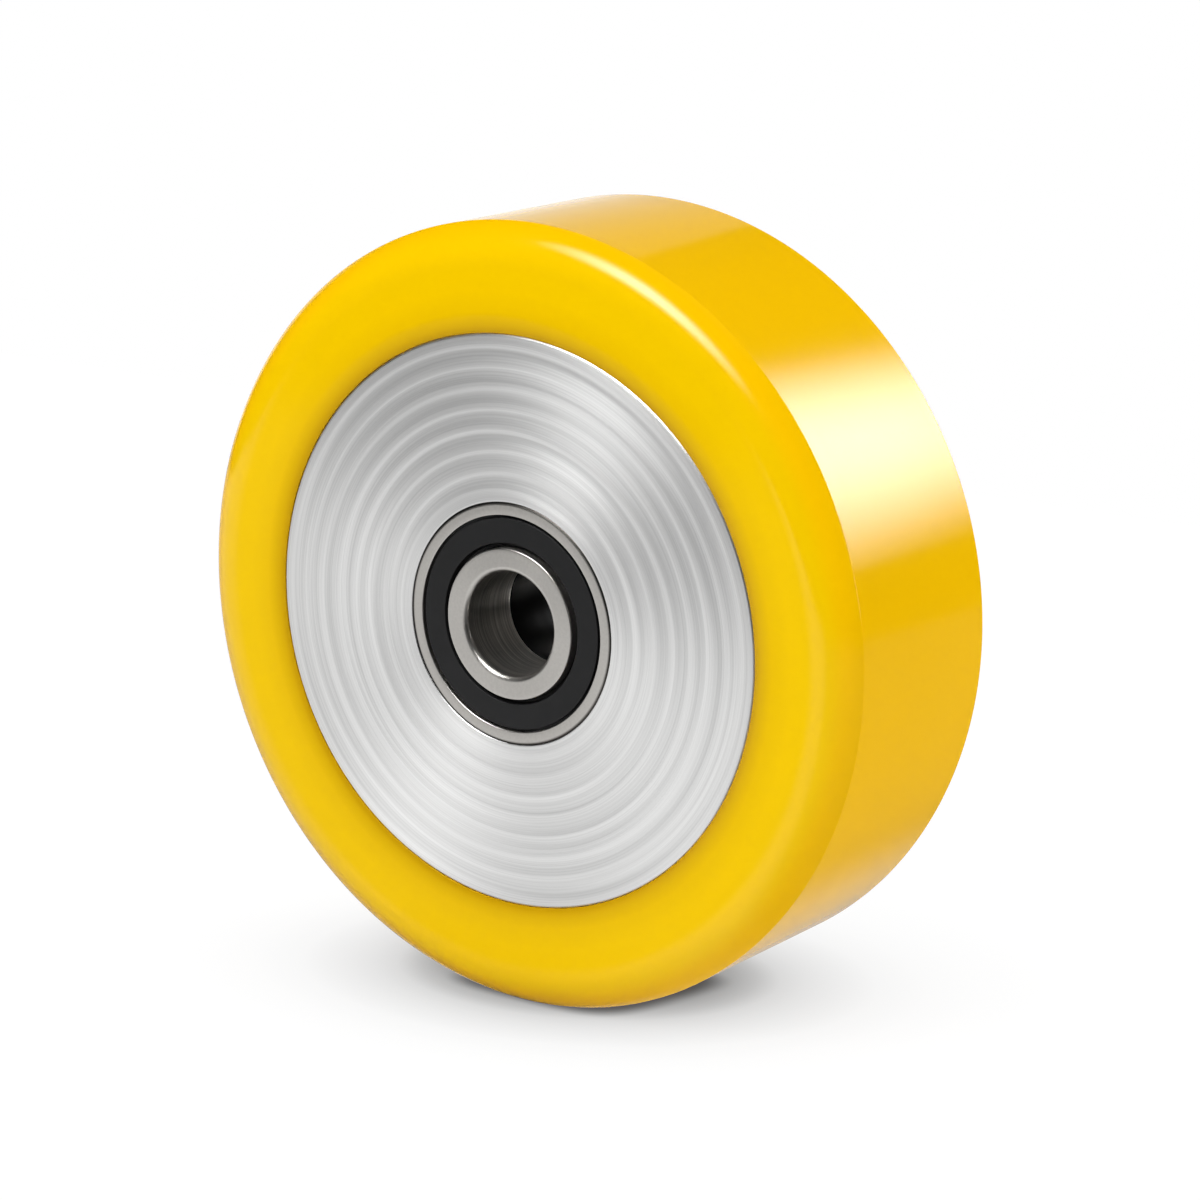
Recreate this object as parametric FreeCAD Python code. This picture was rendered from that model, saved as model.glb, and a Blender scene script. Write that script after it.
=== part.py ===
import FreeCAD, Part
import math
import os

os.makedirs("parts", exist_ok=True)

# Every length is in millimetres. The origin is the wheel's centre, the wheel turns about Y,
# Z is up and the face that the photo shows looks along -Y.

# Tyre: polyurethane cast on the hub, then turned to its tread size
tread_radius = 75.0
tyre_width = 50.0
shoulder_radius = 8.8
# the moulded shoulder would crest this far outside the tread that is turned through it
shoulder_crest_rise = 1.16
# the side rolls down to the hub's face over this width
side_roll_width = 4.0

# Hub: one turned block of aluminium, bored from both ends for a bearing
hub_radius = 54.6
hub_width = 49.0
hub_rim_fillet = 0.5
# the hub's edge is peened over the bearing's rounded corner by this reach
hub_lip_reach = 0.35
hub_lip_chamfer = 0.1
hub_lip_edge = 0.12
hub_lip_depth = 0.55
hub_seat_fillet = 0.6
hub_middle_bore_radius = 20.0
hub_middle_bore_chamfer = 0.5
# the shallow rings that the facing cut leaves in each face
face_ring_pitch = 3.93
face_ring_first_crest = 25.17
face_ring_depth = 0.04

# Bearing: 20 x 47 x 14 deep groove ball bearing, the same one from each end
bearing_bore_radius = 10.0
bearing_outside_radius = 23.5
bearing_width = 14.0
ring_corner_radius = 1.0
ball_count = 8
ball_radius = 3.969
ball_pitch_radius = 16.75
# a raceway's groove is a little more open than the ball, as a share of the ball's size
raceway_openness = 1.04
raceway_clearance = 0.03

# the inner ring stands out beyond the hub's face, so that the fork clears the wheel
inner_ring_rise = 0.35
inner_ring_land_radius = 14.4
inner_ring_land_chamfer = 0.15

outer_ring_land_radius = 19.25
outer_ring_mouth_radius = 20.65
outer_ring_mouth_chamfer = 0.12
seal_groove_radius = 20.9
seal_groove_flank_radius = 20.3
seal_groove_flank_rise = 0.3
seal_groove_bottom_width = 0.6
seal_groove_lip_drop = 0.15

# Seal: moulded rubber disc that snaps into the outer ring and wipes the inner ring
seal_back_offset = 5.0
seal_recess = 0.15
seal_face_inner_radius = 15.42
seal_face_outer_radius = 20.1
seal_lip_root_radius = 15.15
seal_lip_root_rise = 0.6
seal_lip_thickness = 0.3
seal_lip_clearance = 0.05

# Cage: two pressed steel ribbons riveted together between the balls
cage_inner_radius = 15.2
cage_outer_radius = 18.2
cage_strip = 0.7
cage_pocket_clearance = 0.1
rivet_shank_radius = 0.6
rivet_head_radius = 1.1
rivet_head_height = 0.4

# Spacer: tube between the two inner rings, free on the axle
spacer_bore_clearance = 0.25
spacer_outside_radius = 13.0
spacer_chamfer = 0.4

# Sizes that follow from the ones above
tyre_side = tyre_width / 2
hub_face = hub_width / 2
bearing_half = bearing_width / 2
bearing_centre = hub_face - bearing_half
hub_shoulder = hub_face - bearing_width
groove_radius = raceway_openness * ball_radius
inner_groove_centre = ball_pitch_radius - ball_radius - raceway_clearance + groove_radius
outer_groove_centre = ball_pitch_radius + ball_radius + raceway_clearance - groove_radius
pocket_radius = ball_radius + cage_pocket_clearance
seal_groove_bottom_start = seal_back_offset + seal_groove_flank_rise
seal_groove_bottom_end = seal_groove_bottom_start + seal_groove_bottom_width
seal_groove_mouth = seal_groove_bottom_end + seal_groove_lip_drop

turning_axis = FreeCAD.Vector(0, 1, 0)
middle = FreeCAD.Vector(0, 0, 0)


def at(radius, along):
    """Point of a turned outline, drawn in the half plane where X is the radius."""
    return FreeCAD.Vector(radius, along, 0)


def arc(centre_radius, centre_along, radius, start_angle, end_angle):
    """Arc step of an outline: its end and the point half-way, from angles in degrees."""
    points = []
    for angle in (end_angle, (start_angle + end_angle) / 2):
        turn = math.radians(angle)
        points.append(centre_radius + radius * math.cos(turn))
        points.append(centre_along + radius * math.sin(turn))
    return tuple(points)


def mirrored(steps):
    """The same outline steps on the other side of the middle plane, walked backwards."""
    ends = [step[:2] for step in steps]
    back = []
    for number in range(len(steps) - 1, -1, -1):
        radius, along = ends[number]
        if number + 1 < len(steps) and len(steps[number + 1]) == 4:
            through = steps[number + 1][2:]
            back.append((radius, -along, through[0], -through[1]))
        else:
            back.append((radius, -along))
    return back


def turned(steps):
    """Solid of revolution about Y. A step of two numbers is a line to that radius and place
    along the axis; a step of four is an arc to the first two through the last two."""
    edges = []
    here = at(*steps[-1][:2])
    for step in steps:
        there = at(*step[:2])
        if (there - here).Length > 1e-6:
            if len(step) == 4:
                edges.append(Part.Arc(here, at(*step[2:]), there).toShape())
            else:
                edges.append(Part.makeLine(here, there))
        here = there
    face = Part.Face(Part.Wire(edges))
    return face.revolve(middle, turning_axis, 360)


def tube(inner, outer, start, end):
    """Plain tube about Y between two places along the axis."""
    return turned([(inner, start), (outer, start), (outer, end), (inner, end)])


def around(count, radius, first_angle):
    """Evenly spaced centres on a circle about Y."""
    centres = []
    for number in range(count):
        turn = math.radians(first_angle + number * 360 / count)
        centres.append(FreeCAD.Vector(radius * math.cos(turn), 0, radius * math.sin(turn)))
    return centres


def tyre():
    """Flat sides that roll down to the hub, round shoulders cut by the turned tread."""
    shoulder_centre = tread_radius + shoulder_crest_rise - shoulder_radius
    shoulder_along = tyre_side - shoulder_radius
    cut_angle = math.degrees(math.acos((tread_radius - shoulder_centre) / shoulder_radius))
    drop = tyre_side - hub_face
    roll_radius = (side_roll_width**2 + drop**2) / (2 * drop)
    roll_angle = math.degrees(math.asin(side_roll_width / roll_radius))
    roll_end = hub_radius + side_roll_width
    side = [
        (hub_radius, hub_face),
        arc(roll_end, tyre_side - roll_radius, roll_radius, 90 + roll_angle, 90),
        (shoulder_centre, tyre_side),
        arc(shoulder_centre, shoulder_along, shoulder_radius, 90, cut_angle),
    ]
    return turned(side + mirrored(side))


def hub_face_rings():
    """Crests and valleys of the shallow facing rings, from the bearing seat to the rim."""
    start = bearing_outside_radius - hub_lip_reach + hub_lip_chamfer
    end = hub_radius - hub_rim_fillet
    steps = [(start, hub_face)]
    radius = face_ring_first_crest
    valley = False
    while radius < end:
        if radius > start:
            steps.append((radius, hub_face - face_ring_depth if valley else hub_face))
        valley = not valley
        radius += face_ring_pitch / 2
    steps.append((end, hub_face))
    return steps


def hub():
    """Turned block with a bearing seat in each end, closed a little by the peened edge, and a
    smaller bore between the seats."""
    seat = bearing_outside_radius
    rim = hub_radius - hub_rim_fillet
    side = [
        (hub_middle_bore_radius, hub_shoulder - hub_middle_bore_chamfer),
        (hub_middle_bore_radius + hub_middle_bore_chamfer, hub_shoulder),
        (seat - hub_seat_fillet, hub_shoulder),
        arc(seat - hub_seat_fillet, hub_shoulder + hub_seat_fillet, hub_seat_fillet, -90, 0),
        (seat, hub_face - hub_lip_depth),
        (seat - hub_lip_reach, hub_face - hub_lip_edge),
    ]
    side += hub_face_rings()
    side.append(arc(rim, hub_face - hub_rim_fillet, hub_rim_fillet, 90, 0))
    return turned(side + mirrored(side))


def bearing_spacer():
    """Tube that holds the two inner rings apart."""
    bore = bearing_bore_radius + spacer_bore_clearance
    side = [
        (bore, hub_shoulder),
        (spacer_outside_radius - spacer_chamfer, hub_shoulder),
        (spacer_outside_radius, hub_shoulder - spacer_chamfer),
    ]
    return turned(side + mirrored(side))


def outer_ring():
    """Outer ring with its raceway, its lands and the groove that holds each seal."""
    reach = outer_ring_land_radius - outer_groove_centre
    edge_angle = math.degrees(math.acos(reach / groove_radius))
    corner = bearing_outside_radius - ring_corner_radius
    side = [
        arc(outer_groove_centre, 0, groove_radius, 0, edge_angle),
        (outer_ring_land_radius, seal_back_offset),
        (seal_groove_flank_radius, seal_back_offset),
        (seal_groove_radius, seal_groove_bottom_start),
        (seal_groove_radius, seal_groove_bottom_end),
        (outer_ring_mouth_radius, seal_groove_mouth),
        (outer_ring_mouth_radius, bearing_half - outer_ring_mouth_chamfer),
        (outer_ring_mouth_radius + outer_ring_mouth_chamfer, bearing_half),
        (corner, bearing_half),
        arc(corner, bearing_half - ring_corner_radius, ring_corner_radius, 90, 0),
    ]
    bottom = outer_groove_centre + groove_radius
    back = mirrored(side)
    closing = arc(outer_groove_centre, 0, groove_radius, -edge_angle, 0)
    return turned([(bottom, 0)] + side + back + [closing])


def inner_ring_side(face):
    """One side of the inner ring's outline, from its raceway to its bore."""
    reach = inner_groove_centre - inner_ring_land_radius
    edge_angle = math.degrees(math.acos(reach / groove_radius))
    corner = bearing_bore_radius + ring_corner_radius
    return [
        arc(inner_groove_centre, 0, groove_radius, 180, 180 - edge_angle),
        (inner_ring_land_radius, face - inner_ring_land_chamfer),
        (inner_ring_land_radius - inner_ring_land_chamfer, face),
        (corner, face),
        arc(corner, face - ring_corner_radius, ring_corner_radius, 90, 180),
    ]


def inner_ring(outward):
    """Inner ring with its bore, its rounded corners, its lands and its raceway."""
    inward_side = inner_ring_side(bearing_half)
    outward_side = inner_ring_side(bearing_half + inner_ring_rise)
    ahead, behind = outward_side, inward_side
    if outward < 0:
        ahead, behind = inward_side, outward_side
    edge = ahead[0]
    closing = (inner_groove_centre - groove_radius, 0, edge[2], -edge[3])
    start = (inner_groove_centre - groove_radius, 0)
    return turned([start] + ahead + mirrored(behind) + [closing])


def seal(side):
    """Rubber seal on one side of the bearing: bead in the groove, flat face, wiping lip."""
    lip = inner_ring_land_radius + seal_lip_clearance
    face = bearing_half - seal_recess
    steps = [
        (lip, seal_back_offset),
        (lip, seal_back_offset + seal_lip_thickness),
        (seal_lip_root_radius, seal_back_offset + seal_lip_root_rise),
        (seal_face_inner_radius, face),
        (seal_face_outer_radius, face),
        (seal_face_outer_radius, seal_groove_mouth),
        (outer_ring_mouth_radius, seal_groove_mouth),
        (seal_groove_radius, seal_groove_bottom_end),
        (seal_groove_radius, seal_groove_bottom_start),
        (seal_groove_flank_radius, seal_back_offset),
    ]
    return turned([(radius, side * along) for radius, along in steps])


def ball_centres():
    """Ball centres about the bearing's own middle, the first one at the bottom."""
    return around(ball_count, ball_pitch_radius, -90)


def rivet_centres():
    """Rivet centres, half-way between the balls."""
    return around(ball_count, ball_pitch_radius, -90 + 180 / ball_count)


def ball(centre):
    """One steel ball."""
    return Part.makeSphere(ball_radius, centre, turning_axis)


def cage_half(side):
    """One pressed ribbon: flat between the balls and cupped round half of each ball."""
    lands = tube(cage_inner_radius, cage_outer_radius, 0, side * cage_strip)
    reach = pocket_radius + cage_strip
    band = tube(cage_inner_radius, cage_outer_radius, 0, side * reach)
    cups = [Part.makeSphere(reach, centre, turning_axis).common(band) for centre in ball_centres()]
    cutters = [Part.makeSphere(pocket_radius, centre, turning_axis) for centre in ball_centres()]
    for centre in rivet_centres():
        start = centre - turning_axis * reach
        cutters.append(Part.makeCylinder(rivet_shank_radius, 2 * reach, start, turning_axis))
    return lands.fuse(cups).cut(cutters).removeSplitter()


def rivets():
    """The rivets of one cage, a separate solid each: shank and a flat head on both ends."""
    pieces = []
    reach = cage_strip + rivet_head_height
    for centre in rivet_centres():
        start = centre - turning_axis * reach
        piece = Part.makeCylinder(rivet_shank_radius, 2 * reach, start, turning_axis)
        for end in (start, centre + turning_axis * cage_strip):
            head = Part.makeCylinder(rivet_head_radius, rivet_head_height, end, turning_axis)
            piece = piece.fuse(head)
        pieces.append(piece.removeSplitter())
    return Part.makeCompound(pieces)


def bearing(outward):
    """Pieces of one bearing about its own middle, by name; outward is the side that shows."""
    pieces = {
        "outer_ring": outer_ring(),
        "inner_ring": inner_ring(outward),
        "outer_seal": seal(outward),
        "inner_seal": seal(-outward),
        "cage_outer_half": cage_half(outward),
        "cage_inner_half": cage_half(-outward),
        "cage_rivets": rivets(),
    }
    for number, centre in enumerate(ball_centres(), 1):
        pieces["ball_" + str(number)] = ball(centre)
    return pieces


def wheel():
    """Every node of the wheel, by name."""
    nodes = {"tyre": tyre(), "hub": hub(), "bearing_spacer": bearing_spacer()}
    for end, outward in (("front", -1), ("rear", 1)):
        for name, piece in bearing(outward).items():
            piece.translate(turning_axis * (outward * bearing_centre))
            nodes[end + "_" + name] = piece
    return nodes


for name, shape in wheel().items():
    shape.exportStep("parts/" + name + ".step")
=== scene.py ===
import math

import bpy
import numpy as np
from bpy.props import FloatProperty, FloatVectorProperty, PointerProperty
from mathutils import Matrix, Vector


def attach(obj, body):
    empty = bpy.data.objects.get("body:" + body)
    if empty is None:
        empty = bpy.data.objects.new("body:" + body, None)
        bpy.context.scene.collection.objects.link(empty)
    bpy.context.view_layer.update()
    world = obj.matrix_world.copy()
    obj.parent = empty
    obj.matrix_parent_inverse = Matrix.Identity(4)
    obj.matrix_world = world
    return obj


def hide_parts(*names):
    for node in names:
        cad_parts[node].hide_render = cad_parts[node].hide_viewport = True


bl_info = {
    "name": "Polyurethane wheel",
    "version": (1, 0, 0),
    "blender": (4, 5, 0),
    "location": "View3D > Sidebar > Wheel",
    "description": "Builds a cast polyurethane wheel with sealed ball bearings on its CAD frame",
    "category": "Add Mesh",
}

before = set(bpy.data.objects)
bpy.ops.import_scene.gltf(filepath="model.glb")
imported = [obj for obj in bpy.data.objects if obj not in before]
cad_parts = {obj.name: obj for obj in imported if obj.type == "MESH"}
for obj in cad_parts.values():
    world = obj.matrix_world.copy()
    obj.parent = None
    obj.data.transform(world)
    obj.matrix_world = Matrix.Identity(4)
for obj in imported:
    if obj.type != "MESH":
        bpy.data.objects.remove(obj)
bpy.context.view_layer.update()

# Every size is in metres, in the CAD frame: the wheel turns about Y and its shown face
# looks along -Y.

# Points closer together than this are one point.
SAME_PLACE = 1e-9
# How finely each piece is drawn: points in a turn, and the longest step along its outline.
TYRE_TURN, TYRE_STEP = 480, 0.0012
HUB_TURN, HUB_STEP = 360, 0.003
RING_TURN, RING_STEP = 240, 0.0015
SEAL_TURN, SEAL_STEP = 180, 0.0006
# Points on the arcs of the tyre's side roll and shoulder, and of a raceway.
ROLL_POINTS, SHOULDER_POINTS, RACEWAY_POINTS = 14, 40, 12
# A facing ring over one pitch, from crest to crest: where its easy fall starts and how wide
# it is, and where its quicker rise ends and how wide that is.
FALL_START, FALL_WIDTH = 0.06, 0.5
RISE_END, RISE_WIDTH = 0.98, 0.26
# Its points, which lie closest on the rise.
RING_POINTS = (0, 0.06, 0.14, 0.22, 0.3, 0.38, 0.46, 0.56, 0.7, 0.77, 0.82, 0.87, 0.92, 0.98)
# The outer ring's seal groove and mouth, measured outwards from the seal's back.
GROOVE_START, GROOVE_END, MOUTH_START = 0.0003, 0.0009, 0.00105
# The seal's lip: its gap to the inner ring, its width, and how far out its root lies.
LIP_GAP, LIP_WIDTH, LIP_ROOT = 0.00005, 0.0003, 0.0006
# The wheel's two ends, and which way each looks along Y.
ENDS = (("front", -1), ("rear", 1))
# Pieces that keep their CAD shapes: 16 balls, 6 pieces of the cages and the tube.
INSIDE_PIECES = 23
# Most of what a noise texture gives lies in this range.
NOISE_SPAN = {"From Min": 0.3, "From Max": 0.7}
# A Mix node's sockets for its two colours, and its output for the mixture.
FIRST, SECOND, MIXED = 6, 7, 2


def linear(hex_colour):
    """Linear red, green and blue of an sRGB hex colour."""
    values = np.array([int(hex_colour[i:i + 2], 16) for i in (1, 3, 5)]) / 255
    return tuple(np.where(values <= 0.04045, values / 12.92, ((values + 0.055) / 1.055) ** 2.4))


def size(name, description, default):
    """A length that a user can change."""
    return FloatProperty(
        name=name, description=description, default=default, min=0.0, precision=5,
        unit="LENGTH", subtype="DISTANCE",
    )


def strength(name, description, default):
    """A brightness that a user can change, where 1 shows a white surface as white."""
    return FloatProperty(name=name, description=description, default=default, min=0.0)


def colour(name, description, hex_colour):
    """A colour that a user can change."""
    return FloatVectorProperty(
        name=name, description=description, default=linear(hex_colour), size=3,
        min=0.0, max=1.0, subtype="COLOR",
    )


class TyreSettings(bpy.types.PropertyGroup):
    """Sizes and colours of the cast tyre."""

    tread_radius: size("Tread radius", "Radius of the turned tread", 0.075)
    width: size("Width", "Width across the tyre's sides", 0.05)
    shoulder: size("Shoulder", "Radius of the moulded shoulder", 0.0088)
    crest_rise: size("Crest rise", "How far the shoulder would crest outside the tread", 0.00116)
    roll: size("Side roll", "Width over which the side rolls down to the hub", 0.004)
    edge: size("Edge rounding", "Rounding of the tyre's edges", 0.00012)
    body_colour: colour("Polyurethane", "Colour of the cast polyurethane", "#EDC100")
    cut_colour: colour("Cut polyurethane", "Colour of the polyurethane that is turned", "#F3BD00")
    gloss_colour: colour("Gloss", "Colour of what the sides mirror", "#FFF04A")
    # painted shade: the brown to which the tyre's side darkens at the hub's rim
    rim_shade_colour: colour("Thin edge", "Colour where the edge is thin over the hub", "#8E5A10")


class HubSettings(bpy.types.PropertyGroup):
    """Sizes and colours of the turned hub."""

    radius: size("Radius", "Outside radius of the hub", 0.0546)
    width: size("Width", "Width across the hub's faces", 0.049)
    rim_fillet: size("Rim fillet", "Rounding of the hub's rim", 0.0005)
    lip_reach: size("Lip reach", "How far the peened edge closes over the bearing", 0.00035)
    lip_chamfer: size("Lip chamfer", "Chamfer of the peened edge", 0.0001)
    lip_edge: size("Lip edge", "Depth of the peened edge's corner below the face", 0.00012)
    lip_depth: size("Lip depth", "Depth at which the peened edge leaves the seat", 0.00055)
    seat_fillet: size("Seat fillet", "Fillet at the bottom of a bearing seat", 0.0006)
    middle_bore: size("Middle bore", "Radius of the bore between the seats", 0.02)
    ring_pitch: size("Ring pitch", "Distance between the rings that facing leaves", 0.00393)
    ring_crest: size("First crest", "Radius of the first crest between two rings", 0.02517)
    # drawn 0.055 mm deep, where facing leaves them 0.04 mm deep, so that they show in soft light
    ring_depth: size("Ring depth", "Depth of the rings that facing leaves", 0.000055)
    edge: size("Edge rounding", "Rounding of the hub's edges", 0.00003)
    metal_colour: colour("Aluminium", "Colour of the turned aluminium", "#FEFEFD")


class BearingSettings(bpy.types.PropertyGroup):
    """Sizes and colours of the two sealed ball bearings."""

    bore: size("Bore radius", "Radius of the inner ring's bore", 0.01)
    outside: size("Outside radius", "Outside radius of the outer ring", 0.0235)
    width: size("Width", "Width of the bearing", 0.014)
    corner: size("Ring corner", "Radius of the rings' outer corners", 0.001)
    ball: size("Ball radius", "Radius of a ball", 0.003969)
    pitch: size("Pitch radius", "Radius of the circle of ball centres", 0.01675)
    groove: size("Groove radius", "Radius of the raceways' grooves", 0.00412776)
    clearance: size("Clearance", "Gap between a ball and a raceway", 0.00003)
    inner_land: size("Inner land", "Radius of the inner ring's lands", 0.0144)
    outer_land: size("Outer land", "Radius of the outer ring's lands", 0.01925)
    rise: size("Inner ring rise", "How far the inner ring stands out beyond the hub", 0.00035)
    inner_chamfer: size("Inner chamfer", "Chamfer of the inner ring's land", 0.00015)
    mouth: size("Mouth radius", "Radius of the outer ring's mouth", 0.02065)
    mouth_chamfer: size("Mouth chamfer", "Chamfer of the outer ring's mouth", 0.00012)
    seal_groove: size("Seal groove", "Radius of the groove that holds the seal", 0.0209)
    seal_flank: size("Seal flank", "Radius where the seal's back meets its groove", 0.0203)
    seal_back: size("Seal back", "Distance of the seal's back from the ring's middle", 0.005)
    seal_recess: size("Seal recess", "Depth of the seal's face below the ring's", 0.00015)
    seal_inner: size("Seal face inside", "Inner radius of the seal's flat face", 0.01542)
    seal_outer: size("Seal face outside", "Outer radius of the seal's flat face", 0.0201)
    seal_root: size("Seal lip root", "Radius where the seal's lip starts", 0.01515)
    edge: size("Edge rounding", "Rounding of the rings' small edges", 0.00004)
    steel_colour: colour("Bearing steel", "Colour of the ground rings", "#C8C5C0")
    # partly the unground steel's own colour, partly painted shade of the crevice beside the hub
    corner_and_crevice_shade_colour: colour("Hardened corner", "Colour of the rings' unground corners", "#4A4744")
    bore_colour: colour("Honed bore", "Colour of the honed bore", "#DEDAD4")
    ball_colour: colour("Ball steel", "Colour of the polished balls", "#D2D2D0")
    cage_colour: colour("Cage steel", "Colour of the pressed cage", "#A9A59D")
    rubber_colour: colour("Seal rubber", "Colour of the moulded seals", "#111112")
    # partly the blackened tube's own colour, partly painted shade that keeps the bore dark
    spacer_and_bore_shade_colour: colour("Blackened steel", "Colour of the tube between the rings", "#0A0A0A")


class StudioSettings(bpy.types.PropertyGroup):
    """Camera, lamps and floor."""

    azimuth: FloatProperty(
        name="Azimuth", description="Camera's turn about Z, from looking along +Y",
        default=math.radians(35.96), unit="ROTATION", subtype="ANGLE",
    )
    elevation: FloatProperty(
        name="Elevation", description="Camera's height angle above the wheel's centre",
        default=math.radians(14.0), unit="ROTATION", subtype="ANGLE",
    )
    distance: size("Distance", "Camera's distance from the wheel's centre", 0.7207)
    aim_right: size("Aim right", "How far right of the wheel's centre the camera aims", 0.00247)
    aim_down: size("Aim down", "How far below the wheel's centre the camera aims", 0.0003)
    lens: FloatProperty(
        name="Lens", description="Focal length on a 36 mm sensor", default=113.12,
        unit="CAMERA",
    )
    key: strength("Key lamp", "Brightness at the middle of the front softbox", 25.6)
    rear: strength("Rear lamp", "Brightness at the middle of the rear softbox", 16.5)
    side: strength("Side lamp", "Brightness of the softbox on the right", 3.3)
    overhead: strength("Overhead lamp", "Brightness of the softbox overhead", 0.1)
    ambient: strength("Ambient", "Strength of the room's even light", 0.05)
    room_glow: strength("Room", "Brightness of the room in reflections", 0.02)
    near_floor: strength("Near floor", "Brightness of the table's front in reflections", 1.0)
    far_floor: strength("Far floor", "Brightness of the table's back in reflections", 0.18)
    lift: strength("Floor lift", "Light added to the table where the camera sees it", 0.99)
    bounce: strength("Bounce", "Light that the table adds to what stands on it", 0.17)
    side_bounce: strength("Side bounce", "Light that the table adds on the wheel's right", 0.34)
    floor_colour: colour("Floor", "Colour of the pale table", "#C8C8C8")


def rounded(corners, arc_points=5):
    """Closed outline with rounded corners. A corner is (radius, along, rounding): the arc's
    centre lies on the corner's bisector at rounding over the sine of the half angle, and the
    arc sweeps evenly between the two points where it touches the sides."""
    table = np.array(corners, float)
    place, rounding = table[:, :2], table[:, 2:]
    back = np.roll(place, 1, axis=0) - place
    ahead = np.roll(place, -1, axis=0) - place
    back /= np.linalg.norm(back, axis=1, keepdims=True)
    ahead /= np.linalg.norm(ahead, axis=1, keepdims=True)
    half = np.arccos(np.clip((back * ahead).sum(1, keepdims=True), -1, 1)) / 2
    bisector = back + ahead
    length = np.linalg.norm(bisector, axis=1, keepdims=True)
    unbent = length < 1e-6
    straight = unbent | (rounding <= 0)
    bisector = np.where(straight, 0, bisector / np.where(unbent, 1, length))
    centre = place + bisector * rounding / np.sin(half)
    touch = rounding / np.tan(half)
    start = place + back * touch - centre
    end = place + ahead * touch - centre
    first = np.arctan2(start[:, 1], start[:, 0])
    sweep = np.arctan2(end[:, 1], end[:, 0]) - first
    sweep = (sweep + np.pi) % (2 * np.pi) - np.pi
    angle = first[:, None] + sweep[:, None] * np.linspace(0, 1, arc_points)
    circle = np.stack([np.cos(angle), np.sin(angle)], axis=2) * rounding[:, None]
    points = np.where(straight[:, None], place[:, None], centre[:, None] + circle)
    return points.reshape(-1, 2)


def arc(centre, radius, start, end, count):
    """Points of an arc about centre, evenly spaced between two angles in radians."""
    angle = np.linspace(start, end, count)
    return np.stack([centre[0] + radius * np.cos(angle), centre[1] + radius * np.sin(angle)], 1)


def plain(points, rounding=0.0):
    """The points as corners of an outline, all with the same rounding."""
    points = np.atleast_2d(points)
    return np.column_stack([points, np.full(len(points), rounding)])


def both_sides(ahead, behind=None):
    """The corners of the half ahead, then those of the half behind, which are the same ones
    unless given, mirrored in the middle plane."""
    behind = ahead if behind is None else behind
    return np.vstack([ahead, behind[::-1] * (1, -1, 1)])


def refined(outline, step, support=0.00006):
    """The closed outline with more points on its long sides: one every step along it, and one
    a short support distance from each end of a side, which keeps flat faces flat in shading."""
    loop = np.vstack([outline, outline[:1]])
    lengths = np.linalg.norm(np.diff(loop, axis=0), axis=1)
    loop = loop[np.concatenate([[True], lengths > SAME_PLACE])]
    lengths = lengths[lengths > SAME_PLACE]
    along = np.concatenate([[0], np.cumsum(lengths)])
    long_sides = lengths > 4 * support
    places = np.concatenate([
        along[:-1],
        along[:-1][long_sides] + support,
        along[1:][long_sides] - support,
        np.arange(0, along[-1], step),
    ])
    least_gap = support / 8
    places = np.unique(places)
    places = places[np.concatenate([[True], np.diff(places) > least_gap])]
    places = places[places < along[-1] - least_gap]
    return np.stack([np.interp(places, along, loop[:, axis]) for axis in (0, 1)], 1)


def turned(name, outline, count):
    """Closed surface of revolution about Y: outline point (radius, along) at turn t goes to
    (radius cos t, along, radius sin t), and the grid closes on itself both ways."""
    radius, along = outline[:, 0], outline[:, 1]
    turn = np.linspace(0, 2 * np.pi, count, endpoint=False)
    points = np.stack([
        np.outer(np.cos(turn), radius),
        np.broadcast_to(along, (count, len(along))),
        np.outer(np.sin(turn), radius),
    ], axis=2).reshape(-1, 3)
    steps = len(outline)
    here = np.arange(count)[:, None] * steps
    there = (np.arange(count)[:, None] + 1) % count * steps
    low = np.arange(steps)[None]
    high = (low + 1) % steps
    quads = np.stack([here + low, here + high, there + high, there + low], axis=2).reshape(-1, 4)
    area = np.sum(radius * np.roll(along, -1) - np.roll(radius, -1) * along)
    if area < 0:
        quads = quads[:, ::-1]
    return surface(name, points, quads)


def placed(name, data):
    """A new object in the scene."""
    made = bpy.data.objects.new(name, data)
    bpy.context.scene.collection.objects.link(made)
    return made


def surface(name, points, quads):
    """Smooth mesh object from whole arrays of points and four-sided faces."""
    mesh = bpy.data.meshes.new(name)
    mesh.vertices.add(len(points))
    mesh.vertices.foreach_set("co", points.ravel())
    mesh.loops.add(quads.size)
    mesh.loops.foreach_set("vertex_index", quads.ravel().astype(np.int32))
    mesh.polygons.add(len(quads))
    mesh.polygons.foreach_set("loop_start", np.arange(len(quads), dtype=np.int32) * 4)
    mesh.update(calc_edges=True)
    mesh.validate()
    mesh.polygons.foreach_set("use_smooth", np.ones(len(mesh.polygons), bool))
    return placed(name, mesh)


def fit(piece, body, slot, material, *nodes):
    """The piece gets its material, rides on its body and stands for its CAD nodes."""
    piece.data.materials.append(material)
    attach(piece, body)
    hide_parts(*nodes)


def add_node(tree, kind, inputs=None, **settings):
    """One node of a tree, with its settings, and each input a socket to link or a value."""
    made = tree.nodes.new(kind)
    for name, value in settings.items():
        setattr(made, name, value)
    for name, value in (inputs or {}).items():
        if isinstance(value, bpy.types.NodeSocket):
            tree.links.new(value, made.inputs[name])
        else:
            made.inputs[name].default_value = value
    return made


def empty_tree(owner):
    """The node tree of a material, lamp or world, with nothing in it."""
    owner.use_nodes = True
    owner.node_tree.nodes.clear()
    return owner.node_tree


def new_material(name):
    """An empty material with its shader, linked to the output."""
    material = bpy.data.materials.new(name)
    tree = empty_tree(material)
    shader = add_node(tree, "ShaderNodeBsdfPrincipled")
    add_node(tree, "ShaderNodeOutputMaterial", {"Surface": shader.outputs["BSDF"]})
    return material, tree, shader


def opaque(paint, share=1.0):
    """A share of a colour, in the four numbers that a node's socket takes."""
    return tuple(np.array(paint) * share) + (1.0,)


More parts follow.
